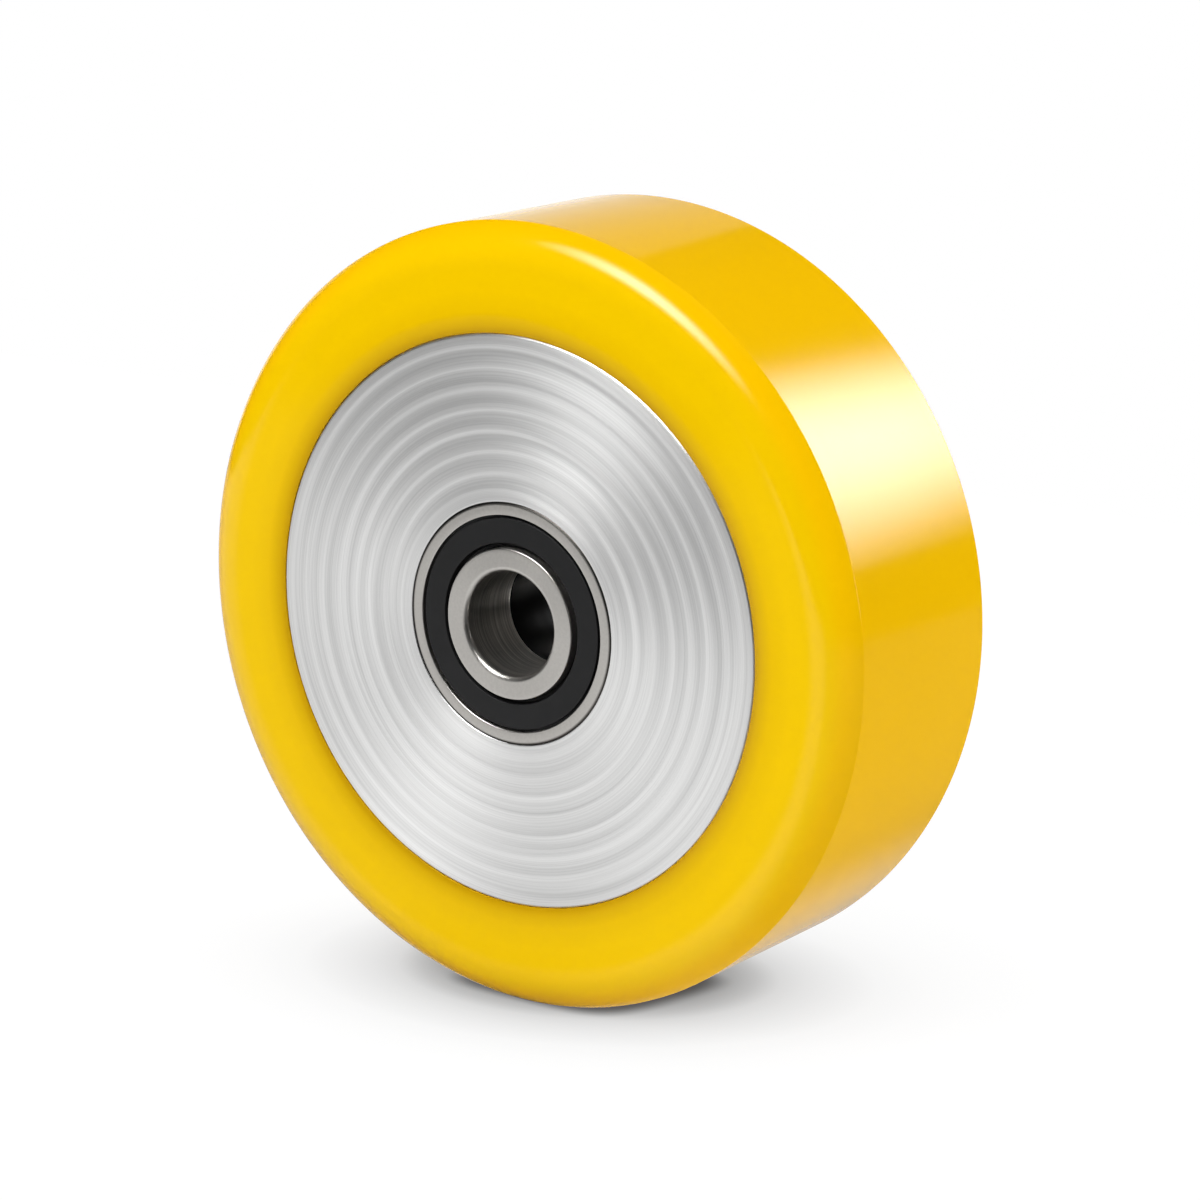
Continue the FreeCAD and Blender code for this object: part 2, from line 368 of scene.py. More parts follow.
def set_ramp(ramp, stops):
    """Stops of a colour ramp: (place, colour or grey level)."""
    elements = ramp.color_ramp.elements
    while len(elements) > 1:
        elements.remove(elements[0])
    elements[0].position = stops[0][0]
    for place, _ in stops[1:]:
        elements.new(place)
    for element, (_, value) in zip(elements, stops):
        grey = (value,) * 3 if isinstance(value, (int, float)) else tuple(value)
        element.color = grey + (1.0,)


def turning_marks(tree, pitch, reach, detail=3.0):
    """Noise that changes every pitch across a turned surface and every reach along the turn, so
    that it draws arcs about the axle. Also gives the radius, in metres."""
    # the place along the axle counts a little more than the radius, so that no chamfer is bare
    axle_share = 1.37
    here = add_node(tree, "ShaderNodeTexCoord").outputs["Object"]
    flat = add_node(tree, "ShaderNodeVectorMath", {0: here, 1: (1, 0, 1)}, operation="MULTIPLY")
    radius = add_node(tree, "ShaderNodeVectorMath", {0: flat.outputs[0]}, operation="LENGTH")
    place = add_node(tree, "ShaderNodeSeparateXYZ", {0: here})
    across = add_node(tree, "ShaderNodeMath", {
        0: place.outputs["Y"], 1: axle_share, 2: radius.outputs["Value"],
    }, operation="MULTIPLY_ADD")
    lines = add_node(tree, "ShaderNodeCombineXYZ", {
        "X": across.outputs[0], "Y": place.outputs["X"], "Z": place.outputs["Z"],
    })
    scaled = add_node(tree, "ShaderNodeVectorMath", {
        0: lines.outputs[0], 1: (1 / pitch, 1 / reach, 1 / reach),
    }, operation="MULTIPLY")
    noise = add_node(tree, "ShaderNodeTexNoise", {
        "Vector": scaled.outputs[0], "Scale": 1.0, "Detail": detail, "Roughness": 0.6,
    })
    return noise.outputs["Fac"], radius.outputs["Value"]


def cast_polyurethane(settings):
    """Cast polyurethane, smooth and glossy from a polished mould, with the tread turned to
    size. To the eye: deep opaque yellow with a clear wet gloss, and on the tread fine rings
    that fray the edges of what it mirrors."""
    # radii: from the hub's rim to where its painted shade ends, from the end of the moulded side
    # to the shoulder, from moulded skin to cut tread, and where the tread's marks begin
    rim_shade_from, rim_shade_to = 0.0546, 0.0626
    flank_from, flank_to = 0.066, 0.0675
    skin_from, skin_to = 0.0695, 0.0735
    tread_from, tread_to = 0.0748, 0.0749
    material, tree, shader = new_material("cast polyurethane")
    # turning marks, drawn 0.5 mm apart where the real feed leaves them 0.1 mm apart
    marks, radius = turning_marks(tree, 0.0005, 0.009)
    # painted shade: the side's colour darkens to brown towards the hub's rim, for the shade in
    # the joint between tyre and hub
    thin = add_node(tree, "ShaderNodeMapRange", {
        "Value": radius, "From Min": rim_shade_from, "From Max": rim_shade_to,
    })
    depth = add_node(tree, "ShaderNodeValToRGB", {"Fac": thin.outputs["Result"]})
    body, edge = np.array(settings.body_colour), np.array(settings.rim_shade_colour)
    rim_shade_shares = ((0.0, 0.6), (0.18, 0.37), (0.5, 0.12), (1.0, 0.02))
    set_ramp(depth, [(place, edge * dark + body * (1 - dark)) for place, dark in rim_shade_shares])
    # the skin that the mould leaves differs a little from the inside, which turning lays bare
    cut = add_node(tree, "ShaderNodeMapRange", {
        "Value": radius, "From Min": skin_from, "From Max": skin_to,
    }, interpolation_type="SMOOTHSTEP")
    tint = add_node(tree, "ShaderNodeMix", {
        "Factor": cut.outputs["Result"], FIRST: depth.outputs["Color"],
        SECOND: opaque(settings.cut_colour),
    }, data_type="RGBA")
    # only the tread has the marks in its shape, about 0.003 mm deep
    on_tread = add_node(tree, "ShaderNodeMapRange", {
        "Value": radius, "From Min": tread_from, "From Max": tread_to,
    })
    height = add_node(tree, "ShaderNodeMath", {
        0: marks, 1: on_tread.outputs["Result"],
    }, operation="MULTIPLY")
    turned_bump = add_node(tree, "ShaderNodeBump", {
        "Strength": 0.5, "Distance": 0.000006, "Height": height.outputs[0],
    })
    # the casting's skin is not quite even, over spans of 6 mm or so
    here = add_node(tree, "ShaderNodeTexCoord").outputs["Object"]
    swell = add_node(tree, "ShaderNodeTexNoise", {
        "Vector": here, "Scale": 160.0, "Detail": 1.0, "Roughness": 0.5,
    })
    skin = add_node(tree, "ShaderNodeBump", {
        "Strength": 0.3, "Distance": 0.00002, "Height": swell.outputs["Fac"],
        "Normal": turned_bump.outputs["Normal"],
    })
    rough = add_node(tree, "ShaderNodeMapRange", {
        "Value": marks, **NOISE_SPAN, "To Min": 0.09, "To Max": 0.14,
    })
    # matched to the photograph, not measured: half the gloss of bare polyurethane, and on the
    # moulded sides a yellow one, so that they stay a full colour in a white room
    flank = add_node(tree, "ShaderNodeMapRange", {
        "Value": radius, "From Min": flank_from, "From Max": flank_to,
    })
    gloss = add_node(tree, "ShaderNodeMix", {
        "Factor": flank.outputs["Result"], FIRST: opaque(settings.gloss_colour),
        SECOND: (1, 1, 1, 1),
    }, data_type="RGBA")
    shader.inputs["IOR"].default_value = 1.5
    shader.inputs["Specular IOR Level"].default_value = 0.25
    tree.links.new(tint.outputs[MIXED], shader.inputs["Base Color"])
    tree.links.new(skin.outputs["Normal"], shader.inputs["Normal"])
    tree.links.new(rough.outputs["Result"], shader.inputs["Roughness"])
    tree.links.new(gloss.outputs[MIXED], shader.inputs["Specular Tint"])
    return material


def two_tone(tree, marks, paint, dark_share):
    """The paint where the marks are high, down to a darker share of it where they are low."""
    light = add_node(tree, "ShaderNodeMapRange", {"Value": marks, **NOISE_SPAN})
    return add_node(tree, "ShaderNodeMix", {
        "Factor": light.outputs["Result"], FIRST: opaque(paint, dark_share), SECOND: opaque(paint),
    }, data_type="RGBA").outputs[MIXED]


def finish_metal(tree, shader, base, rough, normal, anisotropy):
    """Metal with its marks about the axle, which draw what it mirrors out across them."""
    around = add_node(tree, "ShaderNodeTangent", direction_type="RADIAL", axis="Y")
    shader.inputs["Metallic"].default_value = 1.0
    shader.inputs["Anisotropic"].default_value = anisotropy
    shader.inputs["Anisotropic Rotation"].default_value = 0.25
    tree.links.new(base, shader.inputs["Base Color"])
    tree.links.new(rough, shader.inputs["Roughness"])
    tree.links.new(normal, shader.inputs["Normal"])
    tree.links.new(around.outputs[0], shader.inputs["Tangent"])


def turned_metal(name, metal_colour, roughness, anisotropy, pitch, grain, rings=None):
    """Metal cut on a lathe. To the eye: fine arcs about the axle that draw each highlight out
    along the radius, into the two opposite fans that a turned face shows. Grain is how deep the
    marks are drawn, in metres. Rings, if given, are the first crest's radius and the pitch of
    facing rings, each with a painted highlight that is brightest just outside its crest."""
    # fine marks, and broad ones seven times as wide
    fine_reach, broad_reach, broad_pitch, broad_height = 0.07, 0.15, pitch * 7, 1.5
    material, tree, shader = new_material(name)
    fine, radius = turning_marks(tree, pitch, fine_reach)
    broad, _ = turning_marks(tree, broad_pitch, broad_reach, 2.0)
    both = add_node(tree, "ShaderNodeMath", {
        0: broad, 1: broad_height, 2: fine,
    }, operation="MULTIPLY_ADD")
    bump = add_node(tree, "ShaderNodeBump", {
        "Strength": 1.0, "Distance": grain, "Height": both.outputs[0],
    })
    base = two_tone(tree, fine, metal_colour, dark_share=0.84)
    if rings:
        # painted highlight: the colour is brightest just outside each crest, for the line of light
        # that each ring catches
        crest, ring_pitch = rings
        lag, mean, highlight_swing = 0.44, 0.965, 0.035
        turn = 2 * math.pi / ring_pitch
        phase = add_node(tree, "ShaderNodeMath", {
            0: radius, 1: turn, 2: -turn * crest - lag,
        }, operation="MULTIPLY_ADD")
        highlight_wave = add_node(tree, "ShaderNodeMath", {0: phase.outputs[0]}, operation="COSINE")
        bright = add_node(tree, "ShaderNodeMath", {
            0: highlight_wave.outputs[0], 1: highlight_swing, 2: mean,
        }, operation="MULTIPLY_ADD")
        base = add_node(tree, "ShaderNodeVectorMath", {
            0: base, "Scale": bright.outputs[0],
        }, operation="SCALE").outputs[0]
    rough = add_node(tree, "ShaderNodeMapRange", {
        "Value": broad, **NOISE_SPAN, "To Min": roughness * 1.15, "To Max": roughness * 0.85,
    })
    finish_metal(tree, shader, base, rough.outputs["Result"], bump.outputs["Normal"], anisotropy)
    return material


def ground_steel(settings):
    """Through-hardened bearing steel with ground faces and unground corners. To the eye: even
    warm grey with a fine matt mottle, and an outer corner that is dark, partly from the
    hardening and partly as painted shade of the crevice between the ring and the hub."""
    # radii: the outer ring's dark corner, and the inner ring's face down to its honed bore
    corner_from, corner_to = 0.0225, 0.0229
    face_from, bore_from = 0.0106, 0.0101
    material, tree, shader = new_material("ground bearing steel")
    # honing marks, drawn 0.3 mm apart where the real ones are too fine to show
    fine, radius = turning_marks(tree, 0.0003, 0.02)
    # the grinding's mottle, drawn 0.6 mm across where the real one is too fine to show
    here = add_node(tree, "ShaderNodeTexCoord").outputs["Object"]
    mottle = add_node(tree, "ShaderNodeTexNoise", {
        "Vector": here, "Scale": 1600.0, "Detail": 3.0, "Roughness": 0.6,
    }).outputs["Fac"]
    ground = two_tone(tree, mottle, settings.steel_colour, dark_share=0.88)
    # honing leaves the bore bright, in lines about the axle
    honed = two_tone(tree, fine, settings.bore_colour, dark_share=0.45)
    in_bore = add_node(tree, "ShaderNodeMapRange", {
        "Value": radius, "From Min": face_from, "From Max": bore_from,
    })
    faced = add_node(tree, "ShaderNodeMix", {
        "Factor": in_bore.outputs["Result"], FIRST: ground, SECOND: honed,
    }, data_type="RGBA")
    # painted shade: the outer ring's outer corner darkens, partly as unground steel and partly for
    # the crevice's shade
    corner = add_node(tree, "ShaderNodeMapRange", {
        "Value": radius, "From Min": corner_from, "From Max": corner_to,
    })
    whole = add_node(tree, "ShaderNodeMix", {
        "Factor": corner.outputs["Result"], FIRST: faced.outputs[MIXED],
        SECOND: opaque(settings.corner_and_crevice_shade_colour),
    }, data_type="RGBA")
    rough = add_node(tree, "ShaderNodeMapRange", {
        "Value": mottle, **NOISE_SPAN, "To Min": 0.30, "To Max": 0.38,
    })
    bump = add_node(tree, "ShaderNodeBump", {
        "Strength": 1.0, "Distance": 0.0000015, "Height": fine,
    })
    finish_metal(tree, shader, whole.outputs[MIXED], rough.outputs["Result"],
                 bump.outputs["Normal"], anisotropy=0.5)
    return material


def moulded_rubber(settings):
    """Nitrile rubber moulded against a fine-blasted tool. To the eye: near black and matt,
    with a faint grain and a soft grey sheen at a glance."""
    material, tree, shader = new_material("moulded nitrile rubber")
    here = add_node(tree, "ShaderNodeTexCoord").outputs["Object"]
    # the blasted grain, drawn 0.3 mm across where the real one is too fine to show
    grain = add_node(tree, "ShaderNodeTexNoise", {
        "Vector": here, "Scale": 3500.0, "Detail": 3.0, "Roughness": 0.6,
    })
    # and a faint haze, in patches of 4 to 5 mm
    haze = add_node(tree, "ShaderNodeTexNoise", {
        "Vector": here, "Scale": 220.0, "Detail": 2.0, "Roughness": 0.6,
    })
    rough = add_node(tree, "ShaderNodeMapRange", {
        "Value": haze.outputs["Fac"], **NOISE_SPAN, "To Min": 0.44, "To Max": 0.56,
    })
    bump = add_node(tree, "ShaderNodeBump", {
        "Strength": 0.25, "Distance": 0.00002, "Height": grain.outputs["Fac"],
    })
    shader.inputs["Base Color"].default_value = opaque(settings.rubber_colour)
    shader.inputs["IOR"].default_value = 1.52
    shader.inputs["Specular IOR Level"].default_value = 0.3
    tree.links.new(rough.outputs["Result"], shader.inputs["Roughness"])
    tree.links.new(bump.outputs["Normal"], shader.inputs["Normal"])
    return material


def ring_wave(radius, settings):
    """Depth of the facing rings below the face: one cup a pitch wide after another. As t runs
    from 0 at one crest to 1 at the next, the depth is the ring depth times an easy fall and
    times a quicker rise, each a smooth step 3 x^2 - 2 x^3 of how far t is through it."""
    phase = (radius - settings.ring_crest) / settings.ring_pitch
    phase -= np.floor(phase)
    fall = np.clip((phase - FALL_START) / FALL_WIDTH, 0, 1)
    rise = np.clip((RISE_END - phase) / RISE_WIDTH, 0, 1)
    return settings.ring_depth * fall ** 2 * (3 - 2 * fall) * rise ** 2 * (3 - 2 * rise)


class WHEEL_OT_tyre(bpy.types.Operator):
    """Build the cast tyre"""

    bl_idname = "wheel.tyre"
    bl_label = "Tyre"

    def execute(self, context):
        s = context.scene.wheel_tyre
        hub = context.scene.wheel_hub
        side, face = s.width / 2, hub.width / 2
        # the side rolls down to the hub on a wide arc that leaves the flat side without a kink
        drop = side - face
        roll_radius = (s.roll ** 2 + drop ** 2) / (2 * drop)
        lean = math.asin(s.roll / roll_radius)
        # the shoulder's arc would crest outside the tread, which cuts it off before its crest
        crest = s.tread_radius + s.crest_rise - s.shoulder
        cut = math.acos((s.tread_radius - crest) / s.shoulder)
        quarter = math.pi / 2
        roll = arc((hub.radius + s.roll, -side + roll_radius), roll_radius,
                   -quarter - lean, -quarter, ROLL_POINTS)
        shoulder = arc((crest, -side + s.shoulder), s.shoulder, -quarter, -cut, SHOULDER_POINTS)
        half = np.vstack([
            plain(roll[:1], s.edge), plain(roll[1:]), plain(shoulder[:-1]),
            plain(shoulder[-1:], s.edge),
        ])
        outline = refined(rounded(both_sides(half)), TYRE_STEP)
        tyre = turned("cast_tyre", outline, TYRE_TURN)
        fit(tyre, "wheel", "cast_polyurethane", cast_polyurethane(s), "tyre")
        return {"FINISHED"}


class WHEEL_OT_hub(bpy.types.Operator):
    """Build the turned hub"""

    bl_idname = "wheel.hub"
    bl_label = "Hub"

    def execute(self, context):
        s = context.scene.wheel_hub
        bearing = context.scene.wheel_bearing
        bore_edge, rim_margin = 0.0005, 0.0002
        face = s.width / 2
        shoulder = face - bearing.width
        seat = bearing.outside
        mouth = seat - s.lip_reach
        start, end = mouth + s.lip_chamfer, s.radius - s.rim_fillet
        # the face between the peened lip and the rim carries the facing rings
        count = math.ceil((end - s.ring_crest) / s.ring_pitch)
        places = np.add.outer(np.arange(count), RING_POINTS).ravel()
        radius = s.ring_crest + s.ring_pitch * places
        radius = radius[radius < end - rim_margin]
        rings = np.stack([radius, -face + ring_wave(radius, s)], 1)
        half = np.vstack([
            plain((s.middle_bore, -shoulder), bore_edge),
            plain((seat, -shoulder), s.seat_fillet),
            plain([(seat, -face + s.lip_depth), (mouth, -face + s.lip_edge), (start, -face)],
                  s.edge),
            plain(rings),
            plain((s.radius, -face), s.rim_fillet),
        ])
        outline = refined(rounded(both_sides(half)), HUB_STEP)
        hub = turned("turned_hub", outline, HUB_TURN)
        # the metal's colour carries a painted highlight along each facing ring
        # marks drawn 0.3 mm apart where the real feed leaves them too fine to show
        metal = turned_metal("turned aluminium", s.metal_colour, roughness=0.40, anisotropy=0.68,
                             pitch=0.0003, grain=0.000006, rings=(s.ring_crest, s.ring_pitch))
        fit(hub, "wheel", "turned_aluminium", metal, "hub")
        return {"FINISHED"}


class WHEEL_OT_bearing_rings(bpy.types.Operator):
    """Build the outer and inner rings of both bearings"""

    bl_idname = "wheel.bearing_rings"
    bl_label = "Bearing rings"

    def execute(self, context):
        s = context.scene.wheel_bearing
        steel = ground_steel(s)
        half, back = s.width / 2, s.seal_back
        # each raceway is an arc from just off the ring's middle, in radians, to its land
        off_middle, corner_points = 0.05, 7
        outer_centre = s.pitch + s.ball + s.clearance - s.groove
        to_land = math.acos((s.outer_land - outer_centre) / s.groove)
        outer = np.vstack([
            plain(arc((outer_centre, 0), s.groove, off_middle, to_land, RACEWAY_POINTS)),
            plain([(s.outer_land, back), (s.seal_flank, back),
                   (s.seal_groove, back + GROOVE_START), (s.seal_groove, back + GROOVE_END),
                   (s.mouth, back + MOUTH_START)]),
            plain([(s.mouth, half - s.mouth_chamfer), (s.mouth + s.mouth_chamfer, half)], s.edge),
            plain((s.outside, half), s.corner),
        ])
        inner_centre = s.pitch - s.ball - s.clearance + s.groove
        to_land = math.acos((inner_centre - s.inner_land) / s.groove)
        raceway = arc((inner_centre, 0), s.groove, math.pi - off_middle, math.pi - to_land,
                      RACEWAY_POINTS)
        inward, outward = (np.vstack([
            plain(raceway),
            plain([(s.inner_land, face - s.inner_chamfer), (s.inner_land - s.inner_chamfer, face)],
                  s.edge),
            plain((s.bore, face), s.corner),
        ]) for face in (half, half + s.rise))
        centre = context.scene.wheel_hub.width / 2 - half
        for end, side in ENDS:
            # the inner ring stands out beyond the hub on the wheel's outside alone
            inner = (inward, outward)[::side]
            for part, sides, body in (
                ("outer", (outer, outer), "wheel"), ("inner", inner, "axle_set"),
            ):
                whole = both_sides(sides[1][::-1], sides[0][::-1])
                outline = refined(rounded(whole, corner_points), RING_STEP) + (0, side * centre)
                ring = turned(f"{end}_{part}_bearing_ring", outline, RING_TURN)
                fit(ring, body, "bearing_steel", steel, f"{end}_{part}_ring")
        return {"FINISHED"}


class WHEEL_OT_bearing_seals(bpy.types.Operator):
    """Build the seals of both bearings"""

    bl_idname = "wheel.bearing_seals"
    bl_label = "Bearing seals"

    def execute(self, context):
        s = context.scene.wheel_bearing
        rubber = moulded_rubber(s)
        face, back = s.width / 2 - s.seal_recess, s.seal_back
        lip = s.inner_land + LIP_GAP
        # from the lip over its root and the flat face to the bead that snaps into the groove
        soft, crisp, support = 0.00012, 0.00005, 0.00004
        corners = np.vstack([
            plain([(lip, back), (lip, back + LIP_WIDTH)], crisp),
            plain((s.seal_root, back + LIP_ROOT), soft),
            plain([(s.seal_inner, face), (s.seal_outer, face)], soft),
            plain([(s.seal_outer, back + MOUTH_START), (s.mouth, back + MOUTH_START)], crisp),
            plain([(s.seal_groove, back + GROOVE_END), (s.seal_groove, back + GROOVE_START),
                   (s.seal_flank, back)]),
        ])
        profile = refined(rounded(corners), SEAL_STEP, support)
        centre = context.scene.wheel_hub.width / 2 - s.width / 2
        for end, side in ENDS:
            for part, outward in (("outer", 1), ("inner", -1)):
                outline = profile * (1, side * outward) + (0, side * centre)
                seal = turned(f"{end}_{part}_bearing_seal", outline, SEAL_TURN)
                fit(seal, "wheel", "seal_rubber", rubber, f"{end}_{part}_seal")
        return {"FINISHED"}


class WHEEL_OT_bearing_insides(bpy.types.Operator):
    """Give the balls, cages, rivets and spacer their materials"""

    bl_idname = "wheel.bearing_insides"
    bl_label = "Bearing insides"

    def execute(self, context):
        s = context.scene.wheel_bearing
        finishes = {}
        for word, name, paint, roughness, anisotropy, pitch, grain in (
            ("ball", "polished ball steel", s.ball_colour, 0.06, 0.0, 0.0002, 0.0000001),
            ("cage", "pressed cage steel", s.cage_colour, 0.35, 0.0, 0.0006, 0.000002),
            # near black, partly as blackened steel and partly as painted shade deep in the bore
            ("spacer", "blackened tube steel", s.spacer_and_bore_shade_colour, 0.4, 0.3, 0.0005, 0.000002),
        ):
            finishes[word] = turned_metal(name, paint, roughness, anisotropy, pitch, grain)
        dressed = 0
        for name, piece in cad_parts.items():
            for word, material in finishes.items():
                if word in name:
                    piece.data.materials.clear()
                    piece.data.materials.append(material)
                    dressed += 1
        if dressed != INSIDE_PIECES:
            raise RuntimeError(f"{dressed} inner pieces found instead of {INSIDE_PIECES}")
        return {"FINISHED"}


def directions(azimuth, elevation):
    """Unit vectors out from the wheel towards a place, and to its right and up as seen from
    there. The azimuth runs from -Y towards +X, and both angles are in radians."""
    level = math.cos(elevation)
    out = Vector((math.sin(azimuth) * level, -math.cos(azimuth) * level, math.sin(elevation)))
    right = Vector((math.cos(azimuth), math.sin(azimuth), 0))
    return out, right, out.cross(right)


def softbox(name, azimuth, elevation, roll, width, height, peak, edge):
    """Rectangular lamp a metre from the wheel, turned to face it and then rolled, with its
    angles in degrees. Its brightness falls smoothly from its middle towards its corners."""
    out, right, up = directions(math.radians(azimuth), math.radians(elevation))
    turn = Matrix((right, up, out)).transposed() @ Matrix.Rotation(math.radians(roll), 3, "Z")
    lamp = bpy.data.lights.new(name, "AREA")
    lamp.shape = "RECTANGLE"
    lamp.size, lamp.size_y = width, height
    # a lamp's energy is spread over its area and over the half sphere that it faces
    lamp.energy = math.pi * width * height
    tree = empty_tree(lamp)
    # the place runs from -1 to 1 each way, and the fall ends between a side and a corner
    fall_end = 1.2
    place = add_node(tree, "ShaderNodeNewGeometry").outputs["Parametric"]
    centred = add_node(tree, "ShaderNodeVectorMath", {
        0: place, 1: (2, 2, 0), 2: (-1, -1, 0),
    }, operation="MULTIPLY_ADD")
    reach = add_node(tree, "ShaderNodeVectorMath", {0: centred.outputs[0]}, operation="LENGTH")
    fall = add_node(tree, "ShaderNodeMapRange", {
        "Value": reach.outputs["Value"], "From Min": 0.0, "From Max": fall_end,
        "To Min": peak, "To Max": edge,
    }, interpolation_type="SMOOTHSTEP")
    light = add_node(tree, "ShaderNodeEmission", {"Strength": fall.outputs["Result"]})
    add_node(tree, "ShaderNodeOutputLight", {"Surface": light.outputs[0]})
    placed(name, lamp).matrix_world = Matrix.Translation(out) @ turn.to_4x4()


def seen_by(tree, rays, by_others, by_those):
    """One shader for the rays of a kind and another for all the others."""
    kind = add_node(tree, "ShaderNodeLightPath").outputs[rays]
    return add_node(tree, "ShaderNodeMixShader", {0: kind, 1: by_others, 2: by_those}).outputs[0]


def staged(name, corners, material):
    """A flat four-cornered piece of the stage."""
    mesh = bpy.data.meshes.new(name)
    mesh.from_pydata(corners, [], [(0, 1, 2, 3)])
    mesh.materials.append(material)
    made = placed(name, mesh)


class WHEEL_OT_studio(bpy.types.Operator):
    """Set up the table, the lamps and the camera"""

    bl_idname = "wheel.studio"
    bl_label = "Studio"

    def execute(self, context):
        scene = context.scene
        s = scene.wheel_studio
        self.table(s, -scene.wheel_tyre.tread_radius)
        self.backdrop()
        # azimuth, elevation and roll in degrees, width, height, brightness inside and outside
        for name, *light in (
            ("key_softbox", -10, 45.6, 63.8, 0.448, 0.89, s.key, 0.0),
            ("rear_softbox", 149, 23.9, -24.9, 0.32, 0.756, s.rear, 0.0),
            ("side_softbox", 108, 14, 0, 0.80, 0.50, s.side, s.side),
            ("overhead_softbox", 158, 72, 0, 1.20, 0.90, s.overhead, s.overhead),
        ):
            softbox(name, *light)
        self.room(scene, s)
        self.camera(scene, s)
        scene.view_settings.view_transform = "Standard"
        return {"FINISHED"}

    def table(self, s, ground):
        """Pale table top: white to the camera but for the wheel's shadow, which is painted shade in
        the board's own glow. In what glossy surfaces mirror it is bright in front of the wheel and
        dim behind it on the right, light and shade that are painted by place as well."""
        left, right, near, far = -0.9, 0.6, -0.46, 0.42
        shown_paint, side_at = (0.03, 0.03, 0.03), 0.08
        material = bpy.data.materials.new("painted table board")
        tree = empty_tree(material)
        place = add_node(tree, "ShaderNodeTexCoord").outputs["Object"]
        part = add_node(tree, "ShaderNodeSeparateXYZ", {0: place}).outputs
        reach, tone = self.shade(tree, part)
        # the wheel gets a little more light from the board's right
        upward = add_node(tree, "ShaderNodeMapRange", {
            "Value": part["X"], "From Min": 0.0, "From Max": side_at,
            "To Min": s.bounce, "To Max": s.side_bounce,
        })
        by_others = seen_by(tree, "Is Camera Ray",
                            self.board(tree, s.floor_colour, tone, upward.outputs["Result"]),
                            self.board(tree, shown_paint, tone, s.lift))
        whole = seen_by(tree, "Is Glossy Ray", by_others,
                        self.mirrored_board(tree, s, part, reach))
        add_node(tree, "ShaderNodeOutputMaterial", {"Surface": whole})
        staged("table", [
            (left, near, ground), (right, near, ground), (right, far, ground), (left, far, ground),
        ], material)

    def shade(self, tree, part):
        """How far the board is open to the light: 1 in the open and less where the wheel closes
        it off, in an oval that leans with the light, and most of all in a rounded oblong under
        the tread. The lamps don't cast this shade: it is fitted to the photograph's and drawn
        by place. Also gives the place's reach, which is 1 at the oval's rim."""
        lean, oval = -0.26, (1 / 0.0914, 1 / 0.0717, 0)
        oblong, oblong_shift = (1 / 0.0207, 1 / 0.0171, 0), (-0.212, 0.239, 0)
        darkest, dark_to, clear_from = 0.25, 0.67, 1.25
        leaning = add_node(tree, "ShaderNodeMath", {
            0: part["Y"], 1: lean, 2: part["X"],
        }, operation="MULTIPLY_ADD")
        there = add_node(tree, "ShaderNodeCombineXYZ", {
            "X": leaning.outputs[0], "Y": part["Y"],
        }).outputs[0]
        scaled = add_node(tree, "ShaderNodeVectorMath", {0: there, 1: oval}, operation="MULTIPLY")
        reach = add_node(tree, "ShaderNodeVectorMath", {
            0: scaled.outputs[0],
        }, operation="LENGTH").outputs["Value"]
        painted_shade_ramp = add_node(tree, "ShaderNodeValToRGB", {"Fac": reach})
        set_ramp(painted_shade_ramp, [(0.0, 0.2), (0.25, 0.32), (0.3, 0.39), (0.35, 0.52), (0.4, 0.69),
                            (0.45, 0.765), (0.5, 0.822), (0.6, 0.92), (0.7, 0.96), (0.8, 0.98),
                            (1.0, 1.0)])
        under = add_node(tree, "ShaderNodeVectorMath", {
            0: there, 1: oblong, 2: oblong_shift,
        }, operation="MULTIPLY_ADD").outputs[0]
        squares = add_node(tree, "ShaderNodeVectorMath", {0: under, 1: under}, operation="MULTIPLY")
        corner = add_node(tree, "ShaderNodeVectorMath", {0: squares.outputs[0]}, operation="LENGTH")
        painted_contact_shade = add_node(tree, "ShaderNodeMapRange", {
            "Value": corner.outputs["Value"], "From Min": dark_to, "From Max": clear_from,
            "To Min": darkest, "To Max": 1.0,
        }, interpolation_type="SMOOTHSTEP")
        tone = add_node(tree, "ShaderNodeMath", {
            0: painted_shade_ramp.outputs["Color"], 1: painted_contact_shade.outputs["Result"],
        }, operation="MULTIPLY")
        return reach, tone.outputs[0]

    def board(self, tree, paint, tone, power):
        """Painted board with light of its own: its power where the tone is 1, as a number or a
        socket."""
        painted = add_node(tree, "ShaderNodeBsdfDiffuse", {"Color": opaque(paint)})
        level = add_node(tree, "ShaderNodeMath", {0: tone, 1: power}, operation="MULTIPLY")
        light = add_node(tree, "ShaderNodeEmission", {"Strength": level.outputs[0]})
        return add_node(tree, "ShaderNodeAddShader", {
            0: painted.outputs[0], 1: light.outputs[0],
        }).outputs[0]

